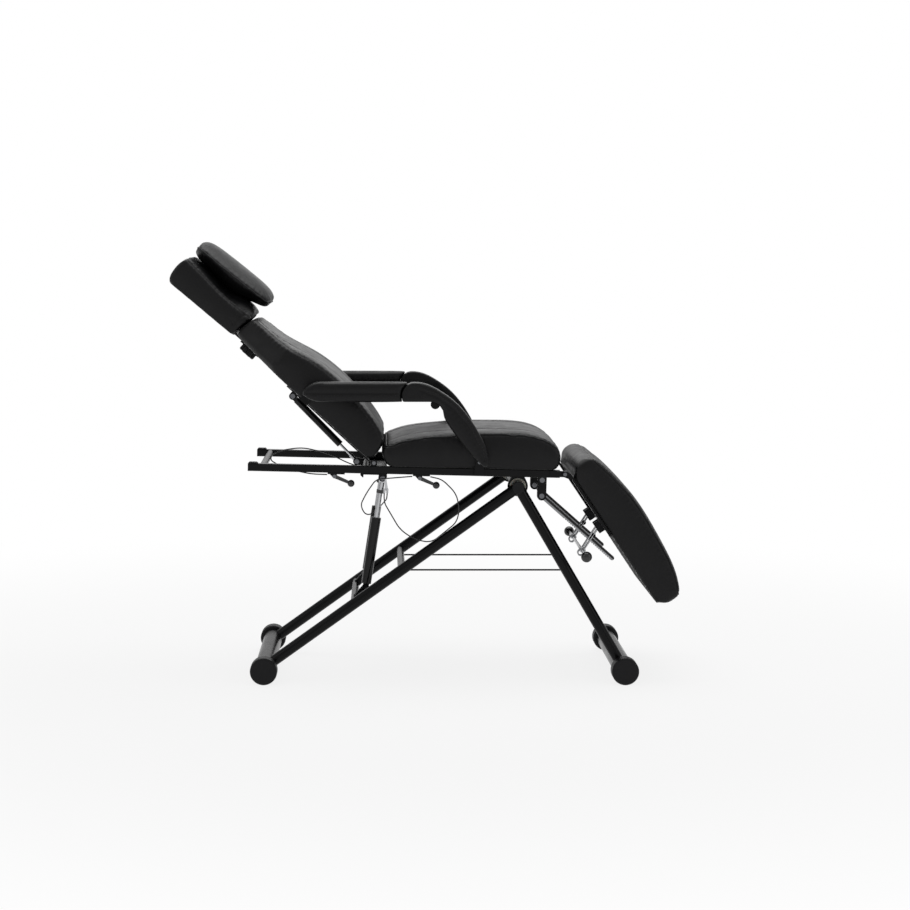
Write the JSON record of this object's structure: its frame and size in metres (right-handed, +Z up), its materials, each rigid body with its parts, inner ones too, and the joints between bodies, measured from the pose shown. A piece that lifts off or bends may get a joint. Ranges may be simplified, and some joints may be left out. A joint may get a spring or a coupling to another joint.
{
  "type": "tattoo chair",
  "caption": "Reclining tattoo chair: black upholstered seat, back, head rest with pillow, leg rest and arms on a low folding-style steel trestle, with gas springs and hand levers.",
  "frame": {"origin": "on the floor under the middle of the chair's bounding box in its resting pose", "axes": "+X towards the feet, +Y towards the sitter's left, +Z up"},
  "size_m": [1.5089, 0.636, 1.2944],
  "materials": {
    "frame_paint": "glossy black powder coat on steel",
    "vinyl": "matt-satin black artificial leather with sewn seams",
    "board": "plywood panel, stapled over with black cloth",
    "moulded_plastic": "black moulded plastic with a fine grain",
    "nylon": "pale nylon bush",
    "plated": "bright plated steel",
    "knob_plastic": "smooth black ball handles",
    "cable_sheath": "black plastic sheath"
  },
  "bodies": {
    "base": {"foot_bars": "frame_paint", "foot_caps": "moulded_plastic", "long_legs": "frame_paint", "short_legs": "frame_paint", "tilt_axle_tube": "frame_paint", "tilt_axle_plugs": "moulded_plastic", "tie_cross_tubes": "frame_paint", "tie_rods": "frame_paint", "strut_cross_tube": "frame_paint", "strut_lower_pins": "plated"},
    "deck": {"deck_rails": "frame_paint", "rail_end_caps": "moulded_plastic", "deck_cross_tubes": "frame_paint", "deck_cross_spring": "frame_paint", "deck_cross_tilt": "frame_paint", "tilt_bushes": "nylon", "hinge_bolts": "plated", "seat_board": "board", "seat_cushion": "vinyl", "strut_channel": "frame_paint", "deck_pins": "plated", "arm_front_brackets": "frame_paint", "arm_front_bolts": "plated", "rack_brackets": "frame_paint", "lever_mounts": "frame_paint", "back_release_cable": "cable_sheath", "tilt_release_cables": "cable_sheath", "cable_fittings": "plated"},
    "tilt_tubes": {"tilt_spring_tubes": "frame_paint"},
    "tilt_rods": {"tilt_spring_rods": "plated", "tilt_spring_nuts": "knob_plastic"},
    "backrest": {"back_frame": "frame_paint", "back_spring_upper_pin": "plated", "arm_rear_bolts": "plated", "back_board": "board", "back_cushion": "vinyl", "head_sleeve": "frame_paint"},
    "back_tube": {"back_spring_tube": "frame_paint"},
    "back_rod": {"back_spring_rod": "plated"},
    "headrest": {"head_post": "frame_paint", "head_board": "board", "head_cushion": "vinyl", "head_pillow": "vinyl"},
    "headrest_knob": {"head_knob": "moulded_plastic"},
    "armrests": {"arm_pads": "vinyl", "arm_bars": "frame_paint", "arm_elbow_pins": "plated"},
    "arm_struts": {"arm_strut_pads": "vinyl", "arm_strut_bars": "frame_paint"},
    "leg_rest": {"leg_frame": "frame_paint", "leg_board": "board", "leg_cushion": "vinyl", "latch_housings": "moulded_plastic", "latch_arms": "frame_paint", "latch_rollers": "moulded_plastic"},
    "racks": {"rack_bars": "frame_paint"},
    "release_handle": {"release_rod": "plated", "release_balls": "knob_plastic"},
    "back_hand_lever": {"back_lever": "knob_plastic"},
    "tilt_hand_lever": {"tilt_lever": "knob_plastic"}
  },
  "joints": [
    {"name": "deck_tilt", "type": "hinge", "parent": "base", "child": "deck", "pos_m": [0.28, 0, 0.576], "axis": [0, -1, 0], "range_deg": [0, 9]},
    {"name": "tilt_tube_turn", "type": "hinge", "parent": "base", "child": "tilt_tubes", "pos_m": [-0.1693, 0, 0.2646], "axis": [0, -1, 0], "range_deg": [-2.5, 0]},
    {"name": "tilt_rod_turn", "type": "hinge", "parent": "deck", "child": "tilt_rods", "pos_m": [-0.11867, 0, 0.59505], "axis": [0, -1, 0], "range_deg": [-11.5, 0]},
    {"name": "back_recline", "type": "hinge", "parent": "deck", "child": "backrest", "pos_m": [-0.14348, 0, 0.64763], "axis": [0, -1, 0], "range_deg": [0, 41.35], "deforming": ["back_release_cable"]},
    {"name": "back_rod_turn", "type": "hinge", "parent": "deck", "child": "back_rod", "pos_m": [-0.19688, 0, 0.63083], "axis": [0, -1, 0], "range_deg": [0, 48.2]},
    {"name": "back_tube_turn", "type": "hinge", "parent": "backrest", "child": "back_tube", "pos_m": [-0.39048, 0, 0.82892], "axis": [0, -1, 0], "range_deg": [0, 6.8]},
    {"name": "armrest_turn", "type": "hinge", "parent": "backrest", "child": "armrests", "pos_m": [-0.3335, 0, 0.8448], "axis": [0, -1, 0], "range_deg": [-41.5, 0]},
    {"name": "arm_strut_turn", "type": "hinge", "parent": "armrests", "child": "arm_struts", "pos_m": [-0.02582, 0, 0.85027], "axis": [0, -1, 0], "range_deg": [0, 41.5]},
    {"name": "leg_raise", "type": "hinge", "parent": "deck", "child": "leg_rest", "pos_m": [0.41494, 0, 0.61595], "axis": [0, -1, 0], "range_deg": [0, 55]},
    {"name": "rack_turn", "type": "hinge", "parent": "deck", "child": "racks", "pos_m": [0.35424, 0, 0.54181], "axis": [0, -1, 0], "range_deg": [0, 47.3]},
    {"name": "release_slide", "type": "slide", "parent": "leg_rest", "child": "release_handle", "axis": [-0.5721, 0, -0.8202], "range_m": [0, 0.008], "stiffness_N_per_m": 900, "springref_m": -0.02},
    {"name": "headrest_slide", "type": "slide", "parent": "backrest", "child": "headrest", "axis": [-0.7355, 0, 0.6775], "range_m": [0, 0.09]},
    {"name": "knob_turn", "type": "hinge", "parent": "backrest", "child": "headrest_knob", "pos_m": [-0.52043, 0, 0.96902], "axis": [-0.6775, 0, -0.7355], "continuous": true},
    {"name": "back_lever_lift", "type": "hinge", "parent": "deck", "child": "back_hand_lever", "pos_m": [-0.25941, -0.2275, 0.60825], "axis": [0, -1, 0], "range_deg": [0, 16], "stiffness_Nm_per_rad": 0.4, "springref_deg": -28.65},
    {"name": "tilt_lever_lift", "type": "hinge", "parent": "deck", "child": "tilt_hand_lever", "pos_m": [-0.00947, -0.2275, 0.60257], "axis": [0, -1, 0], "range_deg": [0, 16], "stiffness_Nm_per_rad": 0.4, "springref_deg": -28.65}
  ],
  "couplings": [
    {"joint": "tilt_tube_turn", "follows": "deck_tilt", "ratio": -0.2656},
    {"joint": "tilt_rod_turn", "follows": "deck_tilt", "ratio": -1.2656},
    {"joint": "back_rod_turn", "follows": "back_recline", "ratio": 1.1607},
    {"joint": "back_tube_turn", "follows": "back_recline", "ratio": 0.1607},
    {"joint": "armrest_turn", "follows": "back_recline", "ratio": -1},
    {"joint": "arm_strut_turn", "follows": "back_recline", "ratio": 1},
    {"joint": "rack_turn", "follows": "leg_raise", "ratio": 0.857}
  ]
}
